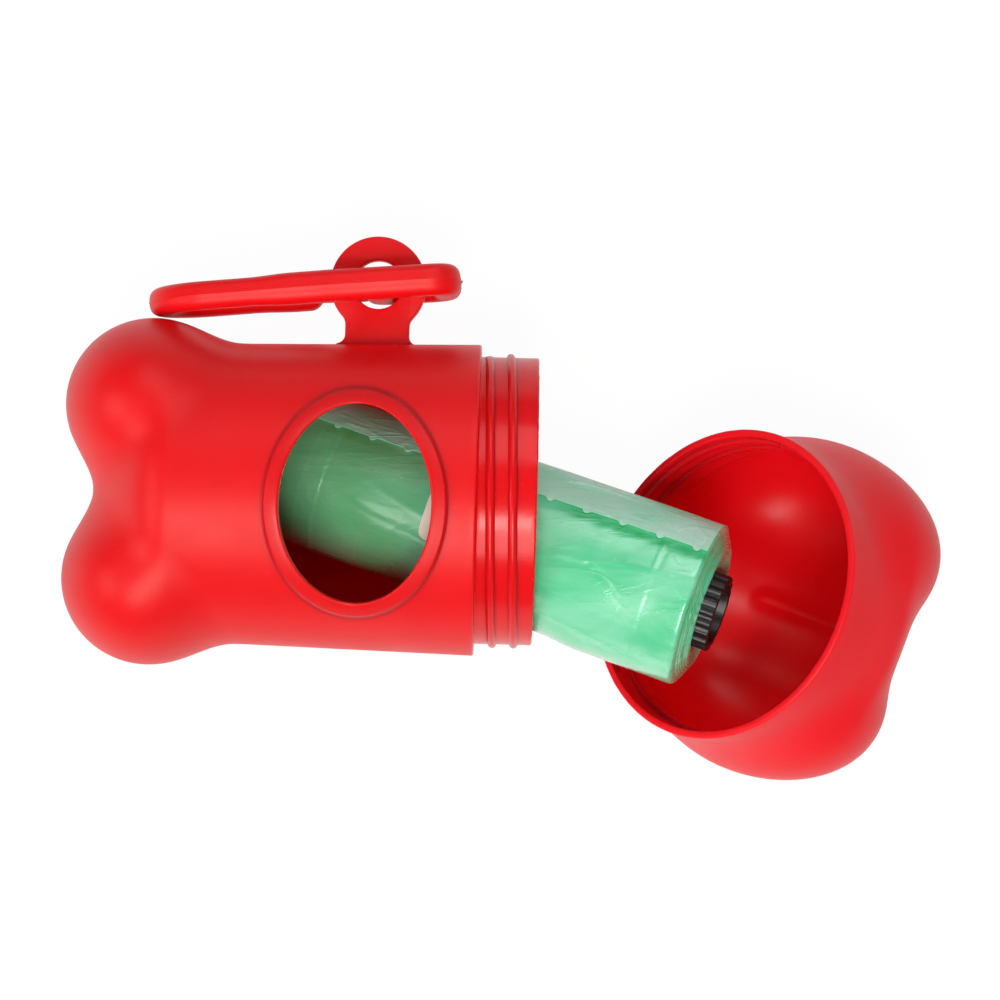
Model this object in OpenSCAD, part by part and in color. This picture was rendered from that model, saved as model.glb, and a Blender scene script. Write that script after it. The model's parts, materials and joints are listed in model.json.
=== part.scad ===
// Pocket dispenser for a roll of waste bags, moulded in the shape of a bone.
// It lies open: the screw cap is off, and the roll leans out of the neck over the cap's rim.
// Millimetres, +Z up. The body's axis is X, with its neck towards +X, and the origin is on
// that axis, in the plane of the shoulder that the cap closes against.

/* [Body] */
// Diameter of the body at its shoulder, which the cap is flush with
shoulder_d = 42.2; // [40:0.2:48]
// How much smaller the radius is at the waist
waist_taper = 0.7; // [0.3:0.1:1.2]
// Length from the shoulder to the ends of the lobes
body_len = 56.6; // [52:0.2:70]
// Wall of the body
body_wall = 1.1; // [0.8:0.1:1.4]
// Bevel on the edges of the shoulder, the neck and the cap's mouth
edge_bevel = 0.3; // [0.1:0.1:0.4]

/* [Bone ends] */
// Radius of a lobe, seen from above
lobe_r = 12.2; // [10.5:0.1:13.5]
// Distance between the centres of the two lobes
lobe_gap = 23.4; // [20:0.2:26]
// Half of a lobe's height
lobe_half_h = 17.8; // [15:0.5:20]
// Size of the fillet in the valley between the lobes
valley_fillet = 8.6; // [5:0.2:11]
// Size of the fillet between the lobes and the round body
waist_fillet = 3; // [1.5:0.1:3.6]
// Length of the dome that closes the round body between the lobes
dome_len = 9.5; // [7:0.5:12]

/* [Neck and cap] */
// Length of the screw neck
neck_len = 7.8; // [6.5:0.1:9.5]
// Wall of the neck
neck_wall = 0.85; // [0.7:0.05:1.2]
// Wall of the cap
cap_wall = 1; // [0.8:0.1:1.4]
// Length of the cap, from its mouth to the ends of its lobes
cap_len = 30.4; // [28:0.2:36]
// Height of the thread ridges
thread_h = 0.5; // [0.3:0.05:0.8]
// Radial play between the neck's ridges and the cap
thread_fit = 0.12; // [0.05:0.01:0.25]
// Distance from one turn of the thread to the next
thread_pitch = 2.9; // [2.4:0.1:3.4]
// Width of a thread ridge at its foot
thread_w = 1.5; // [1:0.1:1.9]
// Number of turns of the thread
thread_turns = 1.9; // [1:0.1:2]

/* [Window] */
// Length of the window, along the body
window_len = 19.6; // [15:0.2:22]
// Width of the window, across the body
window_w = 25.9; // [20:0.2:27]
// Distance from the shoulder back to the window's centre
window_back = 15.5; // [14.5:0.1:18]
// How far the window is turned about the body's axis
window_turn = 3; // [0:0.5:8]
// Width of the raised rim
window_rim_w = 1.9; // [1.2:0.1:2.2]
// Height of the raised rim
window_rim_h = 0.45; // [0.2:0.05:0.8]

/* [Hanging tab] */
// Diameter of the hole in the tab
tab_hole_d = 6.8; // [6.4:0.1:8]
// Width of the ring round the hole
tab_ring_w = 3; // [2.5:0.1:3.5]
// Thickness of the tab
tab_t = 2.8; // [2:0.1:3.4]
// Width of the tab's stem
tab_stem_w = 8.65; // [7:0.05:10]
// Height of the hole's centre above the shoulder's edge
tab_rise = 7.9; // [7.4:0.1:11]
// Distance from the shoulder back to the hole's centre
tab_back = 14.25; // [12:0.05:17]
// Fillet at the foot of the stem
tab_fillet = 1; // [0.5:0.1:1.5]

/* [Snap hook] */
// Distance from the crossbar's centre to the end of the large loop
hook_reach = 31.2; // [28:0.1:40]
// Width of the large loop
hook_w = 16.5; // [15:0.1:20]
// Width of the bar that the hook is made of
hook_bar = 4.1; // [3.5:0.1:4.6]
// Thickness of the large loop
hook_t = 4.2; // [3.4:0.1:4.6]
// Thickness of the small eye and of the bar beside it
eye_t = 4.7; // [4:0.1:5.2]
// Distance from the crossbar's centre at which the thickness changes
hook_step = 14.3; // [12:0.1:18]
// Width of the crossbar, which lies in the tab's hole
crossbar_w = 4.5; // [4:0.1:4.8]
// Width of the small eye, outside
eye_w = 13; // [12:0.1:15]
// Gap between the crossbar and the tip of the hook
snap_gap = 5.8; // [5:0.1:8]
// Thickness of the gate tongue
gate_t = 1.6; // [1.2:0.1:1.8]
// How far the gate reaches past the tip of the hook
gate_lap = 4; // [2.5:0.1:5]

/* [Roll of bags] */
// Radius of the wound film
roll_r = 10.85; // [9.5:0.05:11.1]
// Length of the wound film
film_len = 62.5; // [55:0.5:66]
// Outer radius of the core
core_r = 5.2; // [4.5:0.1:6]
// Inner radius of the core
core_bore_r = 4.15; // [3.4:0.05:4.3]
// How far the core sticks out at each end of the film
core_proud = 2.8; // [0:0.1:4]
// Number of ribs round the core
core_ribs = 20; // [12:1:24]
// Depth of the grooves between the ribs
rib_depth = 0.35; // [0.2:0.05:0.45]
// Radial play between the core and the film
core_fit = 0.06; // [0.04:0.01:0.1]
// Thickness of the loose end of the first bag
bag_t = 0.25; // [0.2:0.05:0.4]
// Angle at the top of the roll where the first bag's edge lies
bag_edge_angle = 41; // [30:1:60]
// Angle that the loose end of the first bag spans
bag_span = 69; // [40:1:90]
// Length of the paper label, along the roll
label_len = 12; // [8:0.5:16]
// Angle that the paper label spans
label_span = 42; // [20:1:50]
// Thickness of the paper label
label_t = 0.12; // [0.1:0.01:0.2]

/* [How it lies] */
// Distance from the shoulder back to the roll's inner end
roll_inset = 28.9; // [24:0.1:30]
// Play between the roll and the inside of the body
roll_fit = 0.35; // [0.3:0.05:1]
// Play between the roll and the inside of the neck
mouth_fit = 0.15; // [0.1:0.05:1]
// Lean of the roll from the body's axis, for which that play is worked out
roll_lean = 22; // [18:0.5:26]
// Side of the body on which the roll's inner end lies, from +Y towards +Z
inner_side = -49; // [-60:1:-35]
// Side of the neck on which the roll leans, from +Y towards +Z
mouth_side = 155; // [145:1:175]
// Angle from level to the cap's mouth axis
cap_tilt = 46; // [42:0.5:50]
// Direction that the cap's mouth faces, from +X towards +Y
cap_turn = 161; // [155:0.5:167]
// Distance from the roll's axis to the cap's mouth centre, sideways
cap_side = 3.6; // [2:0.1:5]
// Gap between resting pieces
seat = 0.3; // [0.25:0.05:0.5]

/* [Hidden] */
$fn = 96;
facets = 48;
rings = 15;
bisections = 18;
shoulder_r = shoulder_d / 2;
waist_r = shoulder_r - waist_taper;
cap_in_r = shoulder_r - cap_wall;
neck_r = cap_in_r - thread_fit - thread_h;
neck_in_r = neck_r - neck_wall;
lobe_y = lobe_gap / 2;
joint_margin = 1.2;                    // from a lobe's inner edge to where the plain tube starts
body_lobe_x = lobe_r - body_len;
cap_lobe_x = lobe_r - cap_len;
dome_back = 4.4;                       // the dome starts this far on the mouth side of the lobes
join_lap = 0.4;                        // how far the edge of a bone end reaches into the plain tube
join_sink = 0.12;                      // how far that edge lies inside the tube's wall
table_z = -shoulder_r;
thread_sink = 0.2;                     // how far a ridge's foot is sunk in its wall
thread_x = 1.06;                       // from the shoulder to the ridge's start
cut = 1;                               // how far a cutting shape runs past what it cuts
red = [0.86, 0.1, 0.12];

// ---- Bone shell -------------------------------------------------------------------------
// A bone end is where a smooth blend of two lobes and a domed tube is less than zero.
// The blend is close to a distance, so the inner wall is the same form at minus the wall.

function blend(a, b, k) = min(a, b) - pow(max(k - abs(a - b), 0), 2) / (4 * k);

function ellipsoid(p, size) =
    let (q = [for (i = [0:2]) p[i] / size[i]], k = norm(q))
    k * (k - 1) / max(norm([for (i = [0:2]) q[i] / size[i]]), 0.001);

function lobes(p, lobe_x) =
    let (size = [lobe_r, lobe_r, lobe_half_h])
    blend(ellipsoid(p - [lobe_x, lobe_y, 0], size), ellipsoid(p - [lobe_x, -lobe_y, 0], size), valley_fillet);

function domed_tube(p, dome_x, r) =
    p[0] > dome_x ? norm([p[1], p[2]]) - r : ellipsoid(p - [dome_x, 0, 0], [dome_len, r, r]);

function bone_end(p, lobe_x, r) =
    blend(lobes(p, lobe_x), domed_tube(p, lobe_x + dome_back, r), waist_fillet);

function reach(from, dir, lobe_x, r, depth, near, far, n) =
    n == 0 ? (near + far) / 2
    : let (mid = (near + far) / 2)
      bone_end(from + dir * mid, lobe_x, r) > -depth
      ? reach(from, dir, lobe_x, r, depth, near, mid, n - 1)
      : reach(from, dir, lobe_x, r, depth, mid, far, n - 1);

function tube_x(lobe_x) = lobe_x + lobe_r + joint_margin;

// Rings of points from the pole between the lobes to the edge, which lies in the tube's wall.
function end_points(lobe_x, r, depth) =
    let (from = [tube_x(lobe_x), 0, 0], far = body_len,
         edge_r = depth == 0 ? r - join_sink : (r - depth + join_sink) / cos(180 / facets))
    [for (i = [0:rings]) let (polar = 90 * i / rings)
        for (j = [0:(i == 0 ? 0 : facets - 1)])
            let (around = 360 * j / facets,
                 dir = [-cos(polar), sin(polar) * cos(around), sin(polar) * sin(around)])
            i == rings ? from + [join_lap, 0, 0] + dir * edge_r
            : from + dir * reach(from, dir, lobe_x, r, depth, 0, far, bisections)];

function ring_start(i) = i == 0 ? 0 : 1 + (i - 1) * facets;

function end_faces(start, inward) =
    [for (i = [0:rings - 1], j = [0:facets - 1])
        let (k = (j + 1) % facets,
             a = start + ring_start(i) + (i == 0 ? 0 : j),
             b = start + ring_start(i) + (i == 0 ? 0 : k),
             c = start + ring_start(i + 1) + k,
             d = start + ring_start(i + 1) + j,
             outward_face = i == 0 ? [a, d, c] : [a, d, c, b])
        inward ? [for (n = [len(outward_face) - 1:-1:0]) outward_face[n]] : outward_face];

// Closed shell of one bone end, open towards +X.
module bone_shell(lobe_x, r, wall) {
    outer = end_points(lobe_x, r, 0);
    inner = end_points(lobe_x, r, wall);
    count = len(outer);
    edge = count - facets;
    rim_faces = [for (j = [0:facets - 1]) let (k = (j + 1) % facets)
        [edge + j, count + edge + j, count + edge + k, edge + k]];
    polyhedron(concat(outer, inner), concat(end_faces(0, false), end_faces(count, true), rim_faces), convexity = 6);
}

// ---- Common shapes ----------------------------------------------------------------------

// Revolves a profile of [radius, x] points about the X axis.
module turned(profile, angle = 360) {
    rotate([0, 90, 0]) rotate_extrude(angle = angle) polygon(profile);
}

module tube_ring(x0, x1, r_in, r_out) {
    turned([[r_in, x0], [r_out, x0], [r_out, x1], [r_in, x1]]);
}

// A flat plate with rounded corners, in the plane of the snap hook.
module rounded_plate(u0, u1, w0, w1, r) {
    translate([u0 + r, w0]) square([u1 - u0 - 2 * r, w1 - w0]);
    translate([u0, w0 + r]) square([u1 - u0, w1 - w0 - 2 * r]);
    for (u = [u0 + r, u1 - r], w = [w0 + r, w1 - r]) translate([u, w]) circle(r);
}

// One screw ridge round the X axis, right-handed. Its foot is at radius r, and its crest is
// h further out, or further in where h is less than zero. Both ends run out to nothing.
module thread_ridge(r, h, x_start) {
    steps = floor(thread_turns * facets);
    run_out = facets / 12;
    sink = thread_sink * -sign(h);
    crest = 0.35;                      // width of the crest, as a share of the foot
    points = [for (i = [0:steps])
        let (around = 360 * i / facets,
             x = x_start + thread_pitch * i / facets,
             top = r + h * min(1, max(i, 0.02) / run_out, max(steps - i, 0.02) / run_out))
        for (p = [[-1, r + sink], [-crest, top], [crest, top], [1, r + sink]])
            [x + p[0] * thread_w / 2, p[1] * cos(around), p[1] * sin(around)]];
    sides = [for (i = [0:steps - 1], j = [0:3]) let (k = (j + 1) % 4)
        [4 * i + j, 4 * i + k, 4 * i + 4 + k, 4 * i + 4 + j]];
    ends = [[3, 2, 1, 0], [for (j = [0:3]) 4 * steps + j]];
    faces = concat(sides, ends);
    polyhedron(points, h > 0 ? faces : [for (f = faces) [for (n = [len(f) - 1:-1:0]) f[n]]], convexity = 6);
}

// ---- Housing ----------------------------------------------------------------------------

body_tube_x = tube_x(body_lobe_x);
shoulder_in_r = shoulder_r - body_wall;
neck_step = shoulder_in_r - neck_in_r;
window_high = shoulder_r + window_rim_h + cut;

function body_r(x) = shoulder_r + waist_taper * x / -body_tube_x;

module body_tube() {
    turned([[waist_r - body_wall, body_tube_x], [waist_r, body_tube_x],
            [shoulder_r, -edge_bevel], [shoulder_r - edge_bevel, 0],
            [neck_r, 0], [neck_r, neck_len - edge_bevel], [neck_r - edge_bevel, neck_len],
            [neck_in_r, neck_len], [neck_in_r, -body_wall], [shoulder_in_r, -body_wall - neck_step]]);
}

module window_prism(grow) {
    sides = 60;
    oval = [for (i = [0:sides - 1]) [(window_len / 2 + grow) * cos(360 * i / sides),
                                     (window_w / 2 + grow) * sin(360 * i / sides)]];
    rotate([window_turn, 0, 0]) translate([-window_back, 0, 0]) linear_extrude(window_high) polygon(oval);
}

module window_rim() {
    first = -window_back - window_len / 2 - window_rim_w - cut;
    last = -edge_bevel - 0.1;
    intersection() {
        turned([[body_r(first) - body_wall / 2, first], [body_r(first) + window_rim_h, first],
                [body_r(last) + window_rim_h, last], [body_r(last) - body_wall / 2, last]]);
        window_prism(window_rim_w);
    }
}

module hanging_tab() {
    hole_y = shoulder_r + tab_rise;
    foot_y = body_r(-tab_back) - body_wall / 2;
    skin_y = body_r(-tab_back);
    flare = tab_stem_w / 2 + tab_fillet;
    translate([-tab_back, 0, -tab_t / 2]) linear_extrude(tab_t) difference() {
        union() {
            translate([0, hole_y]) circle(tab_hole_d / 2 + tab_ring_w);
            translate([-tab_stem_w / 2, foot_y]) square([tab_stem_w, hole_y - foot_y]);
            translate([-flare, foot_y]) square([2 * flare, skin_y + tab_fillet - foot_y]);
        }
        for (side = [-1, 1]) translate([side * flare, skin_y + tab_fillet]) circle(tab_fillet);
        translate([0, hole_y]) circle(tab_hole_d / 2);
    }
}

module housing() {
    color(red) difference() {
        union() {
            body_tube();
            bone_shell(body_lobe_x, waist_r, body_wall);
            window_rim();
            hanging_tab();
            thread_ridge(neck_r, thread_h, thread_x);
        }
        window_prism(0);
    }
}

// ---- How the roll lies --------------------------------------------------------------------
// Its inner end rests against the inside of the body, and it leans on the inside of the neck.

roll_out_r = roll_r + bag_t;
inner_off = body_r(-roll_inset) - body_wall - roll_fit - roll_out_r * cos(roll_lean);
mouth_off = neck_in_r - mouth_fit - roll_out_r / cos(roll_lean);
roll_start = [-roll_inset, inner_off * cos(inner_side), inner_off * sin(inner_side)];
mouth_point = [neck_len, mouth_off * cos(mouth_side), mouth_off * sin(mouth_side)];
roll_dir = (mouth_point - roll_start) / norm(mouth_point - roll_start);
roll_yaw = atan2(roll_dir[1], roll_dir[0]);
roll_pitch = asin(roll_dir[2]);
roll_end = roll_start + roll_dir * film_len;

module along_roll() {
    translate(roll_start) rotate([0, -roll_pitch, roll_yaw]) children();
}

// ---- How the cap lies ---------------------------------------------------------------------
// Both lobes rest on the table, and the cap is as close as the roll above its rim allows.

function turn_cap(p) =
    let (x = p[0] * cos(cap_tilt) - p[2] * sin(cap_tilt), z = p[0] * sin(cap_tilt) + p[2] * cos(cap_tilt))
    [x * cos(cap_turn) - p[1] * sin(cap_turn), x * sin(cap_turn) + p[1] * cos(cap_turn), z];

cap_low = min([for (p = end_points(cap_lobe_x, shoulder_r, 0)) turn_cap(p)[2]]);
cap_z = table_z - cap_low;
roll_ahead = [cos(roll_yaw), sin(roll_yaw), 0];
roll_beside = [-sin(roll_yaw), cos(roll_yaw), 0];

function cap_centre(ahead) =
    let (p = roll_end + roll_ahead * ahead + roll_beside * cap_side) [p[0], p[1], cap_z];

function axis_distance(p) = norm(cross(p - roll_start, roll_dir));

function rim_gap(ahead) =
    min([for (r = [cap_in_r, shoulder_r], around = [200:5:340])
        axis_distance(cap_centre(ahead) + turn_cap([0, r * cos(around), r * sin(around)]))]) - roll_out_r;

function settle(ahead, n) =
    n == 0 ? ahead : settle(ahead + (seat - rim_gap(ahead)) / sin(roll_pitch), n - 1);

cap_pos = cap_centre(settle(1, 6));

module cap() {
    color(red) translate(cap_pos) rotate([0, -cap_tilt, cap_turn]) {
        bone_shell(cap_lobe_x, shoulder_r, cap_wall);
        turned([[cap_in_r, tube_x(cap_lobe_x)], [shoulder_r, tube_x(cap_lobe_x)],
                [shoulder_r, -edge_bevel], [shoulder_r - edge_bevel, 0], [cap_in_r, 0]]);
        thread_ridge(cap_in_r, -thread_h, thread_x - neck_len);
    }
}

// ---- Snap hook ------------------------------------------------------------------------------
// Drawn in its own plane: u runs from the crossbar to the end of the large loop, w is across.

lobe_top_y = lobe_y + lobe_r;
tab_hole_y = shoulder_r + tab_rise;
hook_fall = asin((tab_hole_y - lobe_top_y - seat - hook_t / 2) / hook_reach);
loop_u = hook_reach - hook_w / 2;
loop_in_r = hook_w / 2 - hook_bar;
tip_u = crossbar_w / 2 + snap_gap;
tip_w = (hook_bar - hook_w) / 2;
eye_gap = 0.6;                         // play between the small eye and the rim of the tab
eye_in_u = tab_hole_d / 2 + tab_ring_w + eye_gap;
eye_out_u = eye_in_u + hook_bar;
eye_corner = 3;
eye_open_w = 6;
eye_slit = 0.6;
knuckle_r = 1.25;
knuckle_fit = 0.1;
knuckle_u = crossbar_w / 2 + 0.5;
knuckle_w = -eye_w / 2 + knuckle_r + 0.2;
gate_w = 3.6;

module hook_outline() {
    difference() {
        union() {
            rounded_plate(-eye_out_u, crossbar_w / 2, -eye_w / 2, hook_w / 2, eye_corner);
            translate([0, -eye_w / 2]) square([crossbar_w / 2, eye_w / 2 + loop_in_r]);
            translate([0, loop_in_r]) square([loop_u, hook_bar]);
            difference() {
                translate([loop_u, 0]) circle(hook_w / 2);
                translate([loop_u, 0]) circle(loop_in_r);
                translate([loop_u - hook_w, -loop_in_r]) square([hook_w, 2 * loop_in_r]);
                translate([loop_u - hook_w, -hook_w]) square([hook_w, 2 * hook_w]);
            }
            translate([tip_u + hook_bar / 2, -hook_w / 2]) square([loop_u - tip_u - hook_bar / 2, hook_bar]);
            translate([tip_u + hook_bar / 2, tip_w]) circle(hook_bar / 2);
        }
        rounded_plate(-eye_in_u, -crossbar_w / 2, -eye_open_w / 2, eye_open_w / 2, 1);
        translate([-(eye_in_u + crossbar_w / 2) / 2 - eye_slit / 2, -eye_w]) square([eye_slit, eye_w]);
        translate([knuckle_u, knuckle_w]) circle(knuckle_r + knuckle_fit);
    }
}

module in_hook_plane(thick) {
    translate([-tab_back, tab_hole_y, 0]) rotate([90, 0, 180 + hook_fall])
        translate([0, 0, -thick / 2]) linear_extrude(thick) children();
}

module snap_hook() {
    color(red) {
        in_hook_plane(hook_t) hook_outline();
        in_hook_plane(eye_t) intersection() {
            hook_outline();
            translate([hook_step - 2 * hook_w - hook_reach, -hook_w]) square([2 * hook_w + hook_reach, 2 * hook_w]);
        }
    }
}

module hook_gate() {
    lap_u = tip_u + gate_lap;
    lap_w = -loop_in_r + seat + gate_t / 2;
    color(red) in_hook_plane(gate_w) {
        translate([knuckle_u, knuckle_w]) circle(knuckle_r);
        hull() {
            translate([knuckle_u, knuckle_w]) circle(gate_t / 2);
            translate([lap_u - gate_t, lap_w]) circle(gate_t / 2);
        }
    }
}

// ---- Roll of bags -----------------------------------------------------------------------------

// Part of a sleeve round the roll, from one angle past the top towards the next.
module sleeve(x0, x1, r_in, r_out, from, span) {
    along_roll() rotate([180 - from - span, 0, 0]) turned([[r_in, x0], [r_out, x0], [r_out, x1], [r_in, x1]], span);
}

module roll_core() {
    steps = 4 * core_ribs;
    function rib_r(i) = core_r - (i % 4 < 2 ? 0 : rib_depth);
    ribbed = [for (i = [0:steps - 1]) [rib_r(i) * cos(360 * i / steps), rib_r(i) * sin(360 * i / steps)]];
    color([0.06, 0.06, 0.065]) along_roll() rotate([0, 90, 0]) difference() {
        translate([0, 0, -core_proud / 2]) linear_extrude(film_len + 1.5 * core_proud) polygon(ribbed);
        translate([0, 0, -core_proud]) cylinder(r = core_bore_r, h = film_len + 3 * core_proud);
    }
}

module bag_roll() {
    dish = 1.2;
    dish_r = (core_r + roll_r) / 2;
    color([0.4, 0.88, 0.64]) along_roll()
        turned([[core_r + core_fit, dish], [dish_r, 0], [roll_r, 0], [roll_r, film_len],
                [dish_r, film_len], [core_r + core_fit, film_len - dish]]);
}

module first_bag() {
    color([0.7, 0.96, 0.82]) sleeve(0, film_len, roll_r, roll_out_r, bag_edge_angle, bag_span);
}

module roll_label() {
    label_x = roll_inset - label_len / 2;
    color([0.98, 0.94, 0.88]) sleeve(label_x, label_x + label_len, roll_r, roll_r + label_t, -label_span / 2, label_span);
}

housing();
cap();
snap_hook();
hook_gate();
roll_core();
bag_roll();
first_bag();
roll_label();
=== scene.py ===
import json
import math

import bpy
import numpy as np
from mathutils import Matrix, Vector


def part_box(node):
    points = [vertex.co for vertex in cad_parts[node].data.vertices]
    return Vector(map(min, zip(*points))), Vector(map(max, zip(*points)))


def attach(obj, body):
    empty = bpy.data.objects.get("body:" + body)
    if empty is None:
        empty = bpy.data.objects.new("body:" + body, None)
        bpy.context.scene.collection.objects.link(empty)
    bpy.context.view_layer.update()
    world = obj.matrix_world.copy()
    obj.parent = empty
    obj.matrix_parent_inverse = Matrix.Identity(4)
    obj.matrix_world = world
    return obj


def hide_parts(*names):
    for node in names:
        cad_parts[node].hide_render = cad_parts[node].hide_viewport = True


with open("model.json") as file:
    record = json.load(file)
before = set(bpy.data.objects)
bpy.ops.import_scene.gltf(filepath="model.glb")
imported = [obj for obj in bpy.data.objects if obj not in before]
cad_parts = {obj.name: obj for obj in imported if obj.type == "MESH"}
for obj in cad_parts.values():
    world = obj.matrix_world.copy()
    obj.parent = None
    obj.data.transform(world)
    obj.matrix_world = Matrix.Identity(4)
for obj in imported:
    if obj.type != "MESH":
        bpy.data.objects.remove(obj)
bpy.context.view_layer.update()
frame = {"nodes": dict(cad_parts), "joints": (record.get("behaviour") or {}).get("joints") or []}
mm = 0.001
print("stage: frame loaded")

# where things lie, in millimetres

jointOf = {joint["name"]: joint for joint in frame["joints"]}
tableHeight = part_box("cap")[0].z / mm

rollPlace = {
    "start": Vector(jointOf["roll_spin"]["pos_m"]) / mm,
    "along": Vector(jointOf["roll_spin"]["axis"]).normalized(),
}

capPlace = {
    "mouth": Vector((32.4104, -9.90807, 7.14054)),
    "tilt": 46.0,  # degrees between the mouth's axis and the table
    "away": Vector(jointOf["cap_away"]["axis"]),
}

hookPlace = {
    "pivot": Vector(jointOf["hook_swing"]["pos_m"]) / mm,
    "across": Vector(jointOf["gate_flex"]["axis"]).normalized(),
}


def axesMatrix(origin, xAxis, yAxis, zAxis):
    turn = Matrix((xAxis, yAxis, zAxis)).transposed().to_4x4()
    return Matrix.Translation(origin) @ turn


def rollMatrix():
    along = rollPlace["along"]
    side = Vector((0, 0, 1)).cross(along).normalized()
    return axesMatrix(rollPlace["start"], along, side, along.cross(side))


def capMatrix():
    turn = math.atan2(-capPlace["away"].y, -capPlace["away"].x)
    tilt = Matrix.Rotation(-math.radians(capPlace["tilt"]), 4, "Y")
    return Matrix.Translation(capPlace["mouth"]) @ Matrix.Rotation(turn, 4, "Z") @ tilt


def hookMatrix():
    up = Vector((0, 0, 1))
    across = hookPlace["across"]
    return axesMatrix(hookPlace["pivot"], up.cross(across), up, across)


# modelling helpers

def deselectAll():
    if bpy.context.object and bpy.context.object.mode != "OBJECT":
        bpy.ops.object.mode_set(mode="OBJECT")
    bpy.ops.object.select_all(action="DESELECT")


def pick(*objects):
    deselectAll()
    for each in objects:
        each.select_set(True)
    bpy.context.view_layer.objects.active = objects[0]


def newest(name):
    made = bpy.context.object
    made.name = name
    made.data.name = name
    return made


def points(piece):
    flat = np.empty(len(piece.data.vertices) * 3)
    piece.data.vertices.foreach_get("co", flat)
    return flat.reshape(-1, 3)


def setPoints(piece, places):
    piece.data.vertices.foreach_set("co", np.asarray(places, float).ravel())
    piece.data.update()


def setValue(piece, name, values):
    # one number per point, for a material to read
    layer = piece.data.attributes.new(name, "FLOAT", "POINT")
    layer.data.foreach_set("value", np.asarray(values, np.float32))


def editAll(piece):
    pick(piece)
    bpy.ops.object.mode_set(mode="EDIT")
    bpy.ops.mesh.select_mode(type="VERT")
    bpy.ops.mesh.select_all(action="SELECT")


def mergeDoubles(piece, reach=0.001):
    editAll(piece)
    bpy.ops.mesh.remove_doubles(threshold=reach)
    bpy.ops.object.mode_set(mode="OBJECT")


def faceOutwards(piece):
    editAll(piece)
    bpy.ops.mesh.normals_make_consistent(inside=False)
    bpy.ops.object.mode_set(mode="OBJECT")


def joinInto(piece, *others):
    pick(piece, *others)
    bpy.ops.object.join()


def addModifier(piece, kind, **settings):
    modifier = piece.modifiers.new(kind.title(), kind)
    for key, value in settings.items():
        setattr(modifier, key, value)
    pick(piece)
    bpy.ops.object.modifier_apply(modifier=modifier.name)


def cutWith(piece, cutter):
    addModifier(piece, "BOOLEAN", object=cutter, operation="DIFFERENCE", solver="EXACT")
    bpy.data.objects.remove(cutter)


def smoothBelow(piece, degrees):
    pick(piece)
    bpy.ops.object.shade_smooth_by_angle(angle=math.radians(degrees))


def finishPiece(piece, placement, body, material, node):
    # from millimetres in the piece's own axes to metres in the frame's
    pick(piece)
    piece.data.transform(Matrix.Scale(mm, 4) @ placement)
    piece.data.update()
    piece.data.materials.clear()
    piece.data.materials.append(material)
    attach(piece, body)
    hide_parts(node)
    return piece


def gridOf(name, columns, rows):
    # a flat grid, and each of its points' column and row
    bpy.ops.mesh.primitive_grid_add(x_subdivisions=columns, y_subdivisions=rows, size=2)
    piece = newest(name)
    flat = points(piece)
    column = np.rint((flat[:, 0] + 1) / 2 * columns).astype(int)
    row = np.rint((flat[:, 1] + 1) / 2 * rows).astype(int)
    return piece, column, row


def turnedProfile(name, profile, steps):
    # profile is a list of (x, radius), turned about the X axis
    piece, column, row = gridOf(name, len(profile) - 1, steps)
    x, radius = np.array(profile).T
    turn = row * 2 * math.pi / steps
    setPoints(piece, np.column_stack([x[column], radius[column] * np.cos(turn),
                                      radius[column] * np.sin(turn)]))
    mergeDoubles(piece)
    return piece


def arc(centre, radius, fromDegrees, toDegrees, steps):
    # points of a rounded corner on a profile
    turns = np.radians(np.linspace(fromDegrees, toDegrees, steps + 1))
    return [(centre[0] + radius * math.cos(a), centre[1] + radius * math.sin(a)) for a in turns]


def ease(share):
    # from 0 to 1 with a soft start and end
    share = np.clip(share, 0, 1)
    return share ** 2 * (3 - 2 * share)


def near(values, middle, reach):
    # 1 at the middle, falling to 0 at that reach from it
    return np.clip(1 - np.abs(values - middle) / reach, 0, 1)


def wave(places, seed, size):
    # smooth bumps of about that size, from -1 to 1, the same on each run
    random = np.random.default_rng(seed)
    total = np.zeros(len(places))
    count = 7
    for _ in range(count):
        direction = random.normal(size=3)
        direction /= np.linalg.norm(direction)
        reach = size * random.uniform(0.7, 1.4)
        total += np.sin(places @ direction * (2 * math.pi / reach) + random.uniform(0, 6.3))
    return total / math.sqrt(count)


# shader helpers

class Wire:
    # a node's output; arithmetic on it adds Math nodes
    def __init__(self, shader, socket):
        self.shader = shader
        self.socket = socket

    def __add__(self, other):
        return self.shader.maths("ADD", self, other)

    def __sub__(self, other):
        return self.shader.maths("SUBTRACT", self, other)

    def __rsub__(self, other):
        return self.shader.maths("SUBTRACT", other, self)

    def __mul__(self, other):
        return self.shader.maths("MULTIPLY", self, other)

    __radd__ = __add__
    __rmul__ = __mul__


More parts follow.
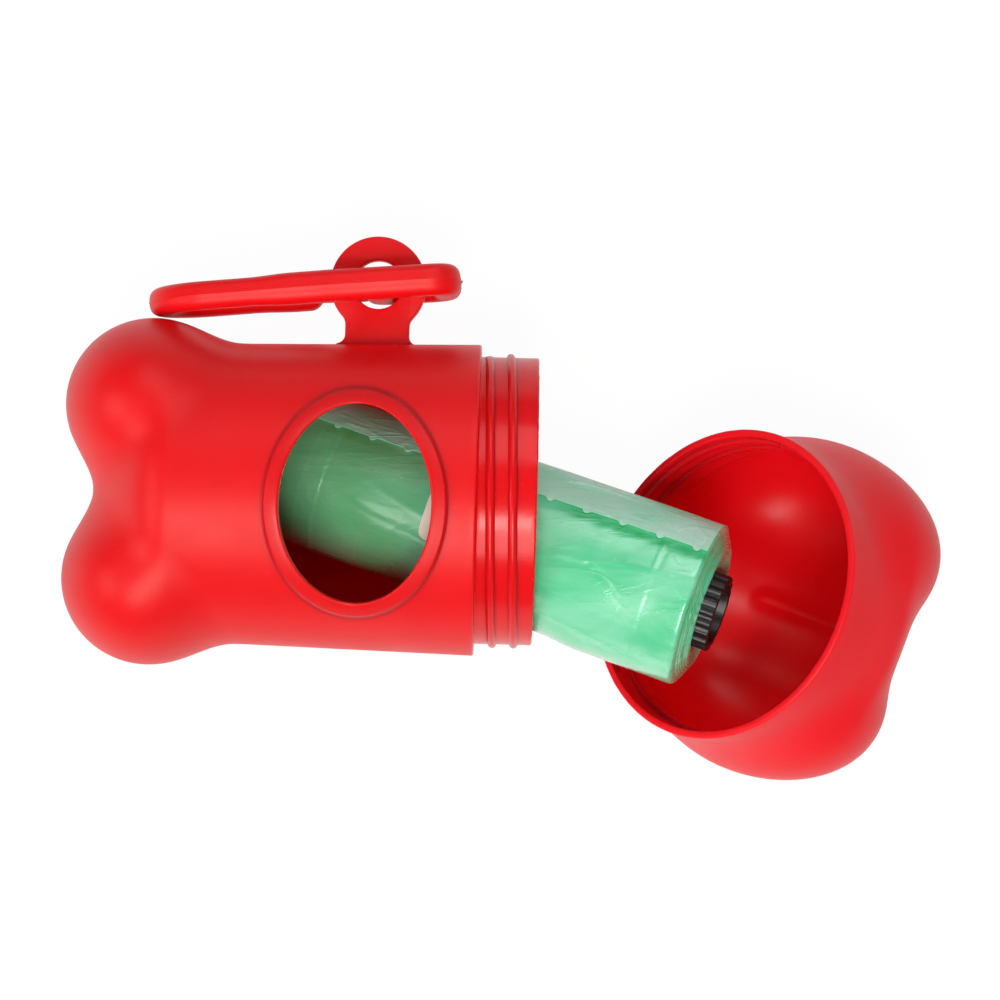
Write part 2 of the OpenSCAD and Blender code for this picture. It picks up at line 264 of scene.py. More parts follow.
class Shader:
    def __init__(self, name):
        self.material = bpy.data.materials.new(name)
        self.material.use_nodes = True
        self.tree = self.material.node_tree
        self.surface = self.tree.nodes["Principled BSDF"]
        self.output = self.tree.nodes["Material Output"]

    def add(self, kind, settings=None, out=0, **values):
        # settings go on the node first, then a value or link on each named socket
        node = self.tree.nodes.new("ShaderNode" + kind)
        for key, value in (settings or {}).items():
            setattr(node, key, value)
        for key, value in values.items():
            self.plug(value, node.inputs[key.replace("_", " ")])
        return Wire(self, node.outputs[out])

    def plug(self, value, socket):
        if isinstance(value, Wire):
            self.tree.links.new(value.socket, socket)
        elif isinstance(value, tuple) and len(value) == 3 and socket.type == "RGBA":
            socket.default_value = (*value, 1)
        else:
            socket.default_value = value

    def maths(self, operation, first, second):
        node = self.tree.nodes.new("ShaderNodeMath")
        node.operation = operation
        self.plug(first, node.inputs[0])
        self.plug(second, node.inputs[1])
        return Wire(self, node.outputs[0])

    def mixColour(self, share, first, second):
        node = self.tree.nodes.new("ShaderNodeMix")
        node.data_type = "RGBA"
        self.plug(share, node.inputs["Factor"])
        self.plug(first, node.inputs[6])
        self.plug(second, node.inputs[7])
        return Wire(self, node.outputs[2])

    def place(self, turn=(0, 0, 0), scale=(1, 1, 1), shift=(0, 0, 0)):
        # Object coordinates in millimetres, turned and stretched for a pattern
        coordinates = self.add("TexCoord", out=3)
        metric = tuple(s / mm for s in scale)
        return self.add("Mapping", {"vector_type": "POINT"}, Vector=coordinates,
                        Rotation=turn, Scale=metric, Location=shift)

    def value(self, name):
        # a number that was stored on the piece's points
        return self.add("Attribute", {"attribute_name": name}, out=2)

    def noise(self, where, scale, detail=2.0, roughness=0.5, warp=0.0):
        return self.add("TexNoise", Vector=where, Scale=scale, Detail=detail,
                        Roughness=roughness, Distortion=warp)

    def dot(self, where, direction):
        node = self.tree.nodes.new("ShaderNodeVectorMath")
        node.operation = "DOT_PRODUCT"
        self.plug(where, node.inputs[0])
        node.inputs[1].default_value = direction
        return Wire(self, node.outputs[1])

    def ramp(self, value, low, high):
        # 0 below low and 1 above high
        return self.add("MapRange", {"interpolation_type": "SMOOTHSTEP"}, Value=value,
                        From_Min=low, From_Max=high)

    def bump(self, height, strength, distance):
        return self.add("Bump", Height=height, Strength=strength, Distance=distance * mm)

    def finish(self, **values):
        for key, value in values.items():
            self.plug(value, self.surface.inputs[key.replace("_", " ")])
        return self.material


# materials

redPlasticLook = {
    "red": (0.88, 0.0065, 0.0095),
    "deepRed": (0.81, 0.0040, 0.0080),
    "roughness": 0.42,
    "glossy": 0.20,  # how much smoother the polished places are
    "grainSize": 0.35,  # millimetres
    "grainDepth": 0.020,
    "speckRed": (0.85, 0.12, 0.10),
    # painted glow: a brighter red for the cap, standing in for light passing through its walls
    "capGlowRed": (1.0, 0.006, 0.018),
    "seamRed": (0.30, 0.0, 0.004),
}


def redPlastic(name, seam=None):
    look = redPlasticLook
    shader = Shader(name)
    where = shader.place()
    mottle = shader.noise(where, 0.16, 3.0, 0.55)
    grain = shader.noise(where, 1 / look["grainSize"], 2.0, 0.5)
    orange = shader.noise(where, 0.9, 2.0, 0.5)
    specks = shader.ramp(shader.noise(where, 2.6, 1.0, 0.4), 0.74, 0.80)
    colour = shader.mixColour(mottle, look["red"], look["deepRed"])
    colour = shader.mixColour(specks * 0.25, colour, look["speckRed"])
    if seam:
        # painted glow: the cap's red is pulled towards a brighter red, standing in for light
        # passing through its walls
        colour = shader.mixColour(0.6, colour, look["capGlowRed"])
        colour = shader.mixColour(seamLine(shader, where, seam), colour, look["seamRed"])
    rough = look["roughness"] + (mottle - 0.5) * 0.12 + (grain - 0.5) * 0.10
    rough = rough - shader.value("polish") * look["glossy"]
    height = grain * 0.6 + orange * 0.9 + specks * 0.8
    return shader.finish(Base_Color=colour, Roughness=rough, IOR=1.45, Specular_IOR_Level=0.32,
                         Normal=shader.bump(height, 0.5, look["grainDepth"]),
                         Subsurface_Weight=0.5, Subsurface_Scale=0.0016,
                         Subsurface_Radius=(1.0, 0.08, 0.06))


def seamLine(shader, where, placement):
    # a thin mould line in the plane across a piece's own z axis, near the end of its x axis
    origin = placement.to_translation()
    across, along = placement.col[2].to_3d(), placement.col[0].to_3d()
    height = shader.dot(where, across) - across.dot(origin)
    depth = shader.dot(where, along) - along.dot(origin)
    thin = 1 - shader.ramp(shader.maths("ABSOLUTE", height, 0.0), 0.03, 0.16)
    return thin * shader.ramp(depth, -9.0, -4.0) * (1 - shader.ramp(depth, -0.6, -0.3)) * 0.8


coreLook = {
    "black": (0.004, 0.004, 0.005),
    "scuffed": (0.022, 0.020, 0.019),
    "roughness": 0.36,
}


def blackPlastic():
    look = coreLook
    shader = Shader("BlackRibbedPlastic")
    where = shader.place()
    scuffs = shader.noise(where, 1.3, 4.0, 0.6)
    grain = shader.noise(where, 5.0, 2.0, 0.5)
    colour = shader.mixColour(shader.ramp(scuffs, 0.48, 0.72), look["black"], look["scuffed"])
    return shader.finish(Base_Color=colour, Roughness=look["roughness"] + (scuffs - 0.5) * 0.3,
                         Normal=shader.bump(grain + scuffs, 0.5, 0.03))


filmLook = {
    "mint": (0.090, 0.67, 0.33),
    "paleMint": (0.25, 0.80, 0.50),
    # olive: painted shade and red bounced light for the film that lies inside the housing
    "olive": (0.15, 0.30, 0.11),
    # deepMint: deeper green in the folds, and painted shadow along the strip under the loose
    # sheet's edge
    "deepMint": (0.004, 0.50, 0.14),
    "layerShade": (0.10, 0.20, 0.09),
    "roughness": 0.27,
    "stretch": 0.22,  # how much longer the folds are than they are wide
}


def rollAngles():
    # the turn that lays the roll's own axes over a pattern's
    return rollMatrix().to_3x3().inverted().to_euler("XYZ")


def filmFolds(shader, size, stretch, warp, skew=0.0):
    # ridges like those of stretched film: where a stretched noise crosses its middle
    turn = rollAngles()
    where = shader.place(tuple(turn), (stretch / size, 1 / size, 1 / size), (skew, 0, 0))
    field = shader.noise(where, 1.0, 2.0, 0.5, warp)
    away = shader.maths("ABSOLUTE", field - 0.5, 0.0)
    return 1 - shader.ramp(away, 0.0, 0.07)


def greenFilm():
    look = filmLook
    shader = Shader("WoundGreenFilm")
    turn = tuple(rollAngles())
    clouds = shader.noise(shader.place(turn, (0.05, 0.11, 0.11)), 1.0, 3.0, 0.55, 0.6)
    folds = filmFolds(shader, 6.0, look["stretch"], 0.6)
    fineFolds = filmFolds(shader, 2.4, 0.4, 1.0, 4.0)
    grain = shader.noise(shader.place(turn, (1.0, 2.2, 2.2)), 1.0, 3.0, 0.6)
    colour = shader.mixColour(shader.ramp(clouds, 0.35, 0.68), look["mint"], look["paleMint"])
    colour = shader.mixColour(folds * 0.12, colour, look["deepMint"])
    # painted shadow: deep green along the strip just beside the loose sheet's free edge
    colour = shader.mixColour(shader.value("sheetEdgeShadow"), colour, look["deepMint"])
    # painted shade: olive where the film lies inside the red housing, for its shadow and red
    # bounced light
    colour = shader.mixColour(shader.value("housingShade"), colour, look["olive"])
    colour = shader.mixColour(shader.value("layerGap") * 0.55, colour, look["layerShade"])
    height = clouds * 0.22 + folds * 0.20 + fineFolds * 0.11 + grain * 0.04
    return shader.finish(Base_Color=colour, Roughness=look["roughness"] + (clouds - 0.5) * 0.12,
                         Normal=shader.bump(height, 0.5, 0.3), IOR=1.5, Specular_IOR_Level=1.0,
                         Coat_Weight=1.0, Coat_Roughness=0.20, Coat_IOR=1.55,
                         Subsurface_Weight=0.2, Subsurface_Scale=0.0012,
                         Subsurface_Radius=(0.3, 1.0, 0.5))


sheetLook = {
    "pale": (0.62, 0.98, 0.80),
    "mint": (0.40, 0.94, 0.66),
    "whitish": (0.86, 1.00, 0.93),
    "roughness": 0.26,
    "clearness": 0.40,
}


def paleFilm():
    look = sheetLook
    shader = Shader("LooseGreenFilm")
    turn = tuple(rollAngles())
    clouds = shader.noise(shader.place(turn, (0.07, 0.16, 0.16)), 1.0, 3.0, 0.6, 0.8)
    folds = filmFolds(shader, 3.6, 0.35, 0.8)
    grain = shader.noise(shader.place(turn, (1.2, 2.6, 2.6)), 1.0, 3.0, 0.6)
    folded, torn = shader.value("folded"), shader.value("torn")
    colour = shader.mixColour(shader.ramp(clouds, 0.4, 0.65), look["pale"], look["mint"])
    colour = shader.mixColour(folded, colour, look["whitish"])
    cover = 1 - look["clearness"] + (clouds - 0.5) * 0.2 + folded * 0.25 + torn * 0.2
    return shader.finish(Base_Color=colour, Roughness=look["roughness"] + (clouds - 0.5) * 0.2,
                         Alpha=cover, IOR=1.5,
                         Normal=shader.bump(clouds * 0.6 + folds * 0.3 + grain * 0.08, 0.5, 0.3))


labelLook = {
    "cream": (0.95, 0.86, 0.74),
    "shade": (0.88, 0.78, 0.66),
}


def labelPaper():
    look = labelLook
    shader = Shader("LabelPaper")
    where = shader.place()
    fibres = shader.noise(where, 2.4, 4.0, 0.6)
    colour = shader.mixColour(fibres * 0.5, look["cream"], look["shade"])
    return shader.finish(Base_Color=colour, Roughness=0.5 + (fibres - 0.5) * 0.2,
                         Normal=shader.bump(fibres, 0.3, 0.03))


shellRed = redPlastic("RedMouldedShell")
capGlowRed = redPlastic("RedMouldedCap", seam=capMatrix())
hookRed = redPlastic("RedMouldedHook")
coreBlack = blackPlastic()
filmGreen = greenFilm()
filmPale = paleFilm()
labelCream = labelPaper()
print("stage: materials made")

# bone shells: two lobes blended with a tube

bone = {
    "domeLength": 9.5,
    "domeBack": 4.4,
    "joinMargin": 1.2,
    "steps": 192,  # points round a shell
    "rings": 84,  # rings from the valley to the plain tube
}


def blend(a, b, size):
    return np.minimum(a, b) - np.maximum(size - np.abs(a - b), 0) ** 2 / (4 * size)


def ellipsoid(places, size):
    share = places / size
    reach = np.linalg.norm(share, axis=1)
    return reach * (reach - 1) / np.maximum(np.linalg.norm(share / size, axis=1), 0.001)


def lobeX(form):
    return form["lobeRadius"] - form["length"]


def tubeStart(form):
    return lobeX(form) + form["lobeRadius"] + bone["joinMargin"]


def boneField(places, form):
    # less than zero inside a bone end: two lobes, blended with a domed tube
    size = np.array([form["lobeRadius"], form["lobeRadius"], form["lobeHalfHeight"]])
    x, half, radius = lobeX(form), form["lobeGap"] / 2, form["tubeRadius"]
    lobes = blend(ellipsoid(places - (x, half, 0), size),
                  ellipsoid(places - (x, -half, 0), size), form["valleyFillet"])
    domeX = x + bone["domeBack"]
    dome = ellipsoid(places - (domeX, 0, 0), np.array([bone["domeLength"], radius, radius]))
    tube = np.hypot(places[:, 1], places[:, 2]) - radius
    return blend(lobes, np.where(places[:, 0] > domeX, tube, dome), form["waistFillet"])


def cavityField(places, form):
    # the inside of a bone end: one wall in from the outside, and round where a neck seats
    field = boneField(places, form) + form["wall"]
    if "seatDepth" in form:
        past = np.maximum(-form["seatDepth"] - places[:, 0], 0)
        seat = np.hypot(places[:, 1], places[:, 2]) - (form["tubeRadius"] - form["wall"]) - past
        field = -blend(-field, -seat, 0.8)
    return field


def boneEnd(name, form, fieldOf, edgeRadius):
    # half a ball, whose points are pushed out from the tube's start to the bone's surface
    rings = bone["rings"]
    piece, column, row = gridOf(name, rings, bone["steps"])
    around, down = row * 2 * math.pi / bone["steps"], column * math.pi / 2 / rings
    direction = np.column_stack([-np.cos(down), np.sin(down) * np.cos(around),
                                 np.sin(down) * np.sin(around)])
    start = np.array([tubeStart(form), 0, 0])
    low, high = np.zeros(len(column)), np.full(len(column), 70.0)
    for _ in range(32):
        middle = (low + high) / 2
        inside = fieldOf(start + direction * middle[:, None], form) < 0
        low, high = np.where(inside, middle, low), np.where(inside, high, middle)
    reach = np.where(column == rings, edgeRadius, low)
    setPoints(piece, start + direction * reach[:, None])
    return piece


def boneShell(name, form, profile):
    # profile runs along the outside from the tube's start and back along the inside
    outer = boneEnd(name, form, boneField, form["tubeRadius"])
    inner = boneEnd(name + "Inner", form, cavityField, form["tubeRadius"] - form["wall"])
    if "rib" in form:
        addRib(inner, form["rib"])
    tube = turnedProfile(name + "Tube", profile, bone["steps"])
    joinInto(outer, inner, tube)
    mergeDoubles(outer, 0.002)
    faceOutwards(outer)
    return outer


def addRib(inner, size):
    # a low moulded rib on the lower side of the inside, in the valley between the lobes
    places = points(inner)
    past = ease(np.minimum(places[:, 2] - size["from"], size["to"] - places[:, 2]) / size["fade"])
    push = size["height"] * np.exp(-(places[:, 1] / size["halfWidth"]) ** 2) * past
    places[:, 0] += push * 0.8
    places[:, 2] += push * 0.6
    setPoints(inner, places)


def threadRidge(name, radius, height, startX):
    # a rounded ridge, turned with the Screw modifier; both ends run out to nothing
    turns, pitch = housing["threadTurns"], housing["threadPitch"]
    rise = math.copysign(1, height)
    half = housing["threadWidth"] / 2
    profile = [(-half, -0.25 * rise), (-half * 0.8, 0.02 * rise), (-half * 0.5, height * 0.72),
               (-half * 0.22, height * 0.97), (half * 0.22, height * 0.97),
               (half * 0.5, height * 0.72), (half * 0.8, 0.02 * rise), (half, -0.25 * rise)]
    bpy.ops.mesh.primitive_circle_add(vertices=len(profile), fill_type="NOTHING")
    piece = newest(name)
    setPoints(piece, [(startX + x, radius + y, 0) for x, y in profile])
    steps = int(bone["steps"] * turns)
    addModifier(piece, "SCREW", axis="X", angle=2 * math.pi * turns, screw_offset=pitch * turns,
                steps=steps, render_steps=steps, use_smooth_shade=True)
    places = points(piece)
    reach = np.hypot(places[:, 1], places[:, 2])
    # the part of the turn that each point has made, from its order along the helix
    share = np.arange(len(places)) // len(profile) / steps
    runOut = 0.045
    fade = np.clip(np.minimum(share, 1 - share) / runOut, 0.02, 1) ** 0.7
    newReach = radius + (reach - radius) * np.where((reach - radius) * rise > 0, fade, 1)
    places[:, 1:] *= (newReach / reach)[:, None]
    setPoints(piece, places)
    editAll(piece)
    bpy.ops.mesh.fill_holes(sides=len(profile))
    faceOutwards(piece)
    setValue(piece, "polish", np.ones(len(piece.data.vertices)))
    return piece


housing = {
    "shoulderRadius": 21.1,
    "tubeRadius": 20.4,
    "length": 55.9,
    "wall": 1.1,
    "lobeRadius": 11.8,
    "lobeGap": 23.4,
    "lobeHalfHeight": 17.8,
    "valleyFillet": 9.4,
    "waistFillet": 3.0,
    "neckRadius": 19.48,
    "neckWall": 0.85,
    "neckLength": 7.8,
    "bevel": 0.3,
    "threadHeight": 0.5,
    "threadStart": 1.06,
    "threadPitch": 2.9,
    "threadWidth": 1.5,
    "threadTurns": 1.9,
    "flash": 0.07,  # roughness left on the moulded edge of the neck
}


def bodyRadius(x):
    taper = (housing["shoulderRadius"] - housing["tubeRadius"]) / tubeStart(housing)
    return housing["shoulderRadius"] - taper * x


def housingProfile():
    size = housing
    start = tubeStart(size)
    top, neck, wall = size["shoulderRadius"], size["neckRadius"], size["wall"]
    inner = neck - size["neckWall"]
    soft = size["bevel"]
    lip = 0.28
    outside = [(x, bodyRadius(x)) for x in np.linspace(start, -soft, 40)]
    outside += arc((-soft, top - soft), soft, 90, 0, 5)[1:]
    foot = 0.22
    outside += [(0, neck + foot + 0.3)] + arc((foot, neck + foot), foot, 180, 270, 4)
    outside += [(x, neck) for x in np.linspace(foot, size["neckLength"] - lip, 14)[1:]]
    outside += arc((size["neckLength"] - lip, neck - lip), lip, 90, 0, 5)[1:]
    outside += arc((size["neckLength"] - lip, inner + lip), lip, 0, -90, 5)
    step = top - wall - inner
    inside = [(x, inner) for x in np.linspace(size["neckLength"] - lip, -wall, 10)[1:]]
    inside += [(-wall - step, top - wall)]
    inside += [(x, bodyRadius(x) - wall) for x in np.linspace(-wall - step, start, 32)[1:]]
    return outside + inside


window = {
    "length": 19.6,
    "width": 25.9,
    "back": 15.5,
    "turn": 3.0,  # degrees about the body's axis
    "rimWidth": 1.9,
    "rimHeight": 0.45,
    "steps": 200,
}


def windowPoint(turn, out, height):
    # a point beside the window's oval: out from its edge in plan, and height above the body's skin
    x = (window["length"] / 2 + out) * np.cos(turn)
    y = (window["width"] / 2 + out) * np.sin(turn)
    reach = bodyRadius(x - window["back"]) + height
    z = np.sqrt(np.maximum(reach ** 2 - y ** 2, 1))
    tilt = math.radians(window["turn"])
    return np.column_stack([x - window["back"], y * math.cos(tilt) - z * math.sin(tilt),
                            y * math.sin(tilt) + z * math.cos(tilt)])


def windowCutter():
    spare, middle = 0.5, 18
    bpy.ops.mesh.primitive_cylinder_add(vertices=window["steps"], radius=1, depth=24)
    cutter = newest("windowCutter")
    places = points(cutter) + (0, 0, middle)
    places[:, 0] *= window["length"] / 2 + spare
    places[:, 1] *= window["width"] / 2 + spare
    turn = np.array(Matrix.Rotation(math.radians(window["turn"]), 3, "X"))
    setPoints(cutter, places @ turn.T + (-window["back"], 0, 0))
    return cutter


def makeWindowRim():
    # a ring whose section is a flat-topped bead; it lines the hole and stands on the skin
    wall, rise, wide = housing["wall"], window["rimHeight"], window["rimWidth"]
    soft = 0.34
    section = [(0.0, -wall - 0.12), (0.0, rise - soft)]
    section += [(soft - soft * math.cos(a), rise - soft + soft * math.sin(a))
                for a in np.radians([18, 36, 54, 72, 90])]
    section += [(wide * 0.5, rise + 0.02)]
    soft = 0.22
    section += [(wide - soft + soft * math.sin(a), rise - soft + soft * math.cos(a))
                for a in np.radians([0, 22, 45, 68, 90])]
    section += [(wide + 0.06, 0.12), (wide + 0.22, 0.03), (wide + 0.42, -0.05)]
    section += [(wide + 0.2, -wall * 0.6), (0.3, -wall - 0.12)]
    steps = window["steps"]
    bpy.ops.mesh.primitive_torus_add(major_segments=steps, minor_segments=len(section))
    rim = newest("windowRim")
    turns = np.repeat(np.arange(steps) * 2 * math.pi / steps, len(section))
    out = np.tile([p[0] for p in section], steps)
    height = np.tile([p[1] for p in section], steps)
    places = windowPoint(turns, out, height)
    flash = wave(places, 11, 1.1) * wave(places, 12, 0.7)
    edge = near(out, 0.05, 0.3) * (height > 0)
    places[:, 2] += 0.035 * flash * edge
    setPoints(rim, places)
    setValue(rim, "polish", np.clip(1 - out / 0.7, 0, 1))
    faceOutwards(rim)
    return rim


def makeBodyShell():
    size = housing
    shell = boneShell("bodyShell", size, housingProfile())
    cutWith(shell, windowCutter())
    places = points(shell)
    reach = np.hypot(places[:, 1], places[:, 2])
    nearLip = near(places[:, 0], size["neckLength"] - 0.15, 0.5)
    nearLip *= np.clip((reach - size["neckRadius"] + 0.7) / 0.4, 0, 1)
    ragged = np.maximum(wave(places, 3, 1.6) * wave(places, 4, 0.8), -0.4)
    push = 1 + size["flash"] * nearLip * ragged / np.maximum(reach, 1)
    places[:, 1:] *= push[:, None]
    places[:, 0] += size["flash"] * 0.6 * nearLip * wave(places, 5, 1.2)
    setPoints(shell, places)
    setValue(shell, "polish", np.clip(places[:, 0] / 0.4 + 1, 0, 1))
    ridge = threadRidge("neckThread", size["neckRadius"], size["threadHeight"],
                        size["threadStart"])
    joinInto(shell, ridge, makeWindowRim(), makeHangingTab())
    smoothBelow(shell, 38)
    return finishPiece(shell, Matrix.Identity(4), "body", shellRed, "housing")


# hanging tab

tab = {
    "holeDiameter": 6.6,
    "ringWidth": 3.2,
    "thickness": 2.8,
    "stemWidth": 8.65,
    "rise": 7.75,
    "back": 14.25,
    "footFillet": 1.2,
    "throatFillet": 1.6,
    "bevel": 0.5,
}


def tabOutline(holeY, skinY, footY):
    # one side from the foot to the top of the ring, then the other side mirrored
    size = tab
    ring, half = size["holeDiameter"] / 2 + size["ringWidth"], size["stemWidth"] / 2
    foot, throat = size["footFillet"], size["throatFillet"]
    drop = math.sqrt((ring + throat) ** 2 - (half + throat) ** 2)
    lean = math.degrees(math.atan2(drop, half + throat))
    side = [(half + foot, footY)] + arc((half + foot, skinY + foot), foot, 270, 180, 8)
    side += arc((half + throat, holeY - drop), throat, 180, 180 - lean, 8)
    side += arc((0, holeY), ring, -lean, 90, 44)[1:]
    return side + [(-x, y) for x, y in reversed(side[:-1])]


def makeHangingTab():
    size = tab
    holeY = housing["shoulderRadius"] + size["rise"]
    skinY = bodyRadius(-size["back"])
    outline = tabOutline(holeY, skinY, skinY - housing["wall"] / 2)
    bpy.ops.mesh.primitive_circle_add(vertices=len(outline), fill_type="NGON")
    piece = newest("hangingTab")
    setPoints(piece, [(x - size["back"], y, -size["thickness"] / 2) for x, y in outline])
    editAll(piece)
    bpy.ops.mesh.extrude_region_move(TRANSFORM_OT_translate={"value": (0, 0, size["thickness"])})
    bpy.ops.object.mode_set(mode="OBJECT")
    faceOutwards(piece)
    bpy.ops.mesh.primitive_cylinder_add(vertices=96, radius=size["holeDiameter"] / 2,
                                        depth=9, location=(-size["back"], holeY, 0))
    cutWith(piece, newest("holeCutter"))
    addModifier(piece, "BEVEL", width=size["bevel"], segments=3, limit_method="ANGLE",
                angle_limit=math.radians(50))
    return piece


bodyShell = makeBodyShell()
print("stage: body shell made")

# cap

cap = {
    "tubeRadius": 21.1,
    "wall": 1.0,
    "length": 29.9,
    "lobeRadius": 12.8,
    "lobeGap": 21.1,
    "lobeHalfHeight": 18.65,
    "valleyFillet": 9.8,
    "waistFillet": 5.7,
    "seatDepth": 8.4,  # how far in from the mouth the inside stays round
    "lip": -0.18,  # place of the rim along the cap's axis
    "bevel": 0.3,
    "flash": 0.05,
    "insidePolish": 0.35,
    "rib": {"from": -11.9, "to": 2.5, "fade": 1.8, "halfWidth": 1.25, "height": 1.15},
}


def capProfile():
    size = cap
    start = tubeStart(size)
    outer, inner, soft = size["tubeRadius"], size["tubeRadius"] - size["wall"], size["bevel"]
    lip = size["lip"]
    profile = [(x, outer) for x in np.linspace(start, lip - soft, 14)]
    profile += arc((lip - soft, outer - soft), soft, 90, 0, 5)[1:]
    profile += arc((lip - soft * 0.8, inner + soft * 0.8), soft * 0.8, 0, -90, 5)
    profile += [(x, inner) for x in np.linspace(lip - soft * 0.8, start, 14)[1:]]
    return profile


def makeCapShell():
    size = cap
    shell = boneShell("capShell", size, capProfile())
    places = points(shell)
    reach = np.hypot(places[:, 1], places[:, 2])
    nearLip = near(places[:, 0], -0.1, 0.4)
    ragged = np.clip(wave(places, 21, 2.2) * wave(places, 22, 0.9), -0.5, 1)
    places[:, 1:] *= (1 - size["flash"] * nearLip * ragged / np.maximum(reach, 1))[:, None]
    places[:, 0] += size["flash"] * 0.8 * nearLip * wave(places, 23, 1.3)
    setPoints(shell, places)
    inside = boneField(places, size) < -size["wall"] / 2
    setValue(shell, "polish", inside * size["insidePolish"])
    ridge = threadRidge("capThread", size["tubeRadius"] - size["wall"],
                        -housing["threadHeight"], housing["threadStart"] - housing["neckLength"])
    joinInto(shell, ridge)
    smoothBelow(shell, 38)
    return finishPiece(shell, capMatrix(), "cap", capGlowRed, "cap")


capShell = makeCapShell()
print("stage: cap made")

# snap hook

hook = {
    "reach": 31.2,
    "width": 16.5,
    "bar": 4.1,
    "loopThickness": 3.8,
    "eyeThickness": 4.3,
    "stepAt": 14.3,
    "crossbar": 4.0,
    "hang": 0.38,  # how far the bar hangs below the pivot
    "bow": 0.018,  # how much more the loop leans towards its end
    "eyeWidth": 13.0,
    "eyeGap": 0.6,
    "snapGap": 5.8,
    "slit": 0.6,
    "flash": 0.07,
}


def barSection(width, thickness):
    # an oval section, with thin lines of flash where the halves of the mould meet
    steps, power = 28, 0.74
    section = []
    for turn in np.linspace(0, 2 * math.pi, steps, endpoint=False):
        across, up = math.cos(turn), math.sin(turn)
        section.append((math.copysign(abs(across) ** power, across) * width / 2,
                        math.copysign(abs(up) ** power, up) * thickness / 2))
    half, line = width / 2, 0.13
    for side, place in ((1, 0), (-1, steps // 2)):
        section[place] = (side * (half + hook["flash"]), 0)
    section.insert(steps // 2 + 1, (-half, -line))
    section.insert(steps // 2, (-half, line))
    section.insert(1, (half, line))
    return section + [(half, -line)]


def sweptBar(name, path, scales, section):
    # a bar of that section along points of the hook's plane, scaled at each point
    path, scales = np.asarray(path, float), np.asarray(scales, float)
    section = np.asarray(section + section[:1])
    bar, column, row = gridOf(name, len(path) - 1, len(section) - 1)
    ahead = np.gradient(path, axis=0)
    ahead /= np.maximum(np.linalg.norm(ahead, axis=1), 1e-6)[:, None]
    side = np.column_stack([-ahead[:, 1], ahead[:, 0]])
    flat = path[column] + side[column] * (section[row, 0] * scales[column])[:, None]
    thick = section[row, 1] * scales[column]
    grow = hook["eyeThickness"] / hook["loopThickness"] - 1
    thick *= 1 + grow * ease((hook["stepAt"] + 3 - flat[:, 0]) / 6)
    thick -= hook["hang"] + hook["bow"] * np.maximum(flat[:, 0] - 6, 0)
    setPoints(bar, np.column_stack([flat, thick]))
    mergeDoubles(bar, 0.0005)
    faceOutwards(bar)
    return bar


def straight(start, end, gap=0.5):
    count = max(2, int(math.dist(start, end) / gap))
    return [tuple(p) for p in np.linspace(start, end, count, endpoint=False)]


def makeHook():
    size = hook
    bar = size["bar"]
    section = barSection(bar, size["loopThickness"])
    middle = (size["width"] - bar) / 2
    bend = size["reach"] - size["width"] / 2
    tip = size["crossbar"] / 2 + size["snapGap"]
    tipSteps = 14
    far = -(tab["holeDiameter"] / 2 + tab["ringWidth"] + size["eyeGap"] + bar / 2)
    low, corner = -size["eyeWidth"] / 2 + bar * 0.45, 2.1
    slit = (far + bar / 2 - size["crossbar"] / 2) / 2
    half = size["slit"] / 2

    # from the tip round the loop, along the top and round the eye to the slit
    front = tip + bar / 2 - np.cos(np.linspace(0, math.pi / 2, tipSteps)) * bar / 2
    path = [(u, -middle) for u in front]
    path += straight((tip + bar / 2, -middle), (bend, -middle), 0.6)[1:]
    path += arc((bend, 0), middle, -90, 90, 44)
    path += straight((bend, middle), (far + corner, middle), 0.6)[1:]
    path += arc((far + corner, middle - corner), corner, 90, 180, 8)
    path += straight((far, middle - corner), (far, low + corner), 0.5)[1:]
    path += arc((far + corner, low + corner), corner, 180, 270, 8)
    path += straight((far + corner, low), (slit - half, low), 0.5)[1:] + [(slit - half, low)] * 2
    scales = np.ones(len(path))
    scales[:tipSteps] = np.sin(np.linspace(0, math.pi / 2, tipSteps))
    scales[0], scales[-1], scales[-2] = 0, 0, 0.9
    loop = sweptBar("hookLoop", path, scales, section)

    # from the slit's other side round the corner and up the crossbar, into the top bar
    path = [(slit + half, low)] + straight((slit + half, low), (-corner, low), 0.5)
    path += arc((-corner, low + corner), corner, -90, 0, 8)
    path += straight((0, low + corner), (0, middle), 0.5)[1:]
    scales = np.ones(len(path))
    scales[0], scales[1], scales[-1] = 0, 0.9, 0
    eye = sweptBar("hookCrossbar", path, scales, section)

    # the mark that the mould's gate leaves on the eye's outer side
    bpy.ops.mesh.primitive_ico_sphere_add(subdivisions=3, radius=0.42)
    gateMark = newest("gateMark")
    lumps = points(gateMark) * (1, 1, 0.6) + (far - bar / 2 + 0.15, 0.6, -hook["hang"])
    setPoints(gateMark, lumps + 0.06 * wave(lumps, 31, 0.7)[:, None])
    joinInto(loop, eye, gateMark)
    loop.name = "snapHookFrame"
    smoothBelow(loop, 50)
    return finishPiece(loop, hookMatrix(), "hook", hookRed, "snap_hook")


def refinedCopy(name, node, bevel, segments):
    # the CAD node's own shape with softened edges, in millimetres
    piece = bpy.data.objects.new(name, frame["nodes"][node].data.copy())
    bpy.context.scene.collection.objects.link(piece)
    piece.data.transform(Matrix.Scale(1 / mm, 4))
    mergeDoubles(piece, 0.002)
    editAll(piece)
    bpy.ops.mesh.dissolve_limited(angle_limit=math.radians(1.5))
    bpy.ops.object.mode_set(mode="OBJECT")
    addModifier(piece, "BEVEL", width=bevel, segments=segments, limit_method="ANGLE",
                angle_limit=math.radians(40), harden_normals=False)
    smoothBelow(piece, 40)
    return piece


gate = {"bevel": 0.22}


def makeGate():
    tongue = refinedCopy("hookGateTongue", "hook_gate", gate["bevel"], 3)
    return finishPiece(tongue, Matrix.Identity(4), "gate", hookRed, "hook_gate")


hookFrame = makeHook()
hookGate = makeGate()
print("stage: hook made")

# roll of bags

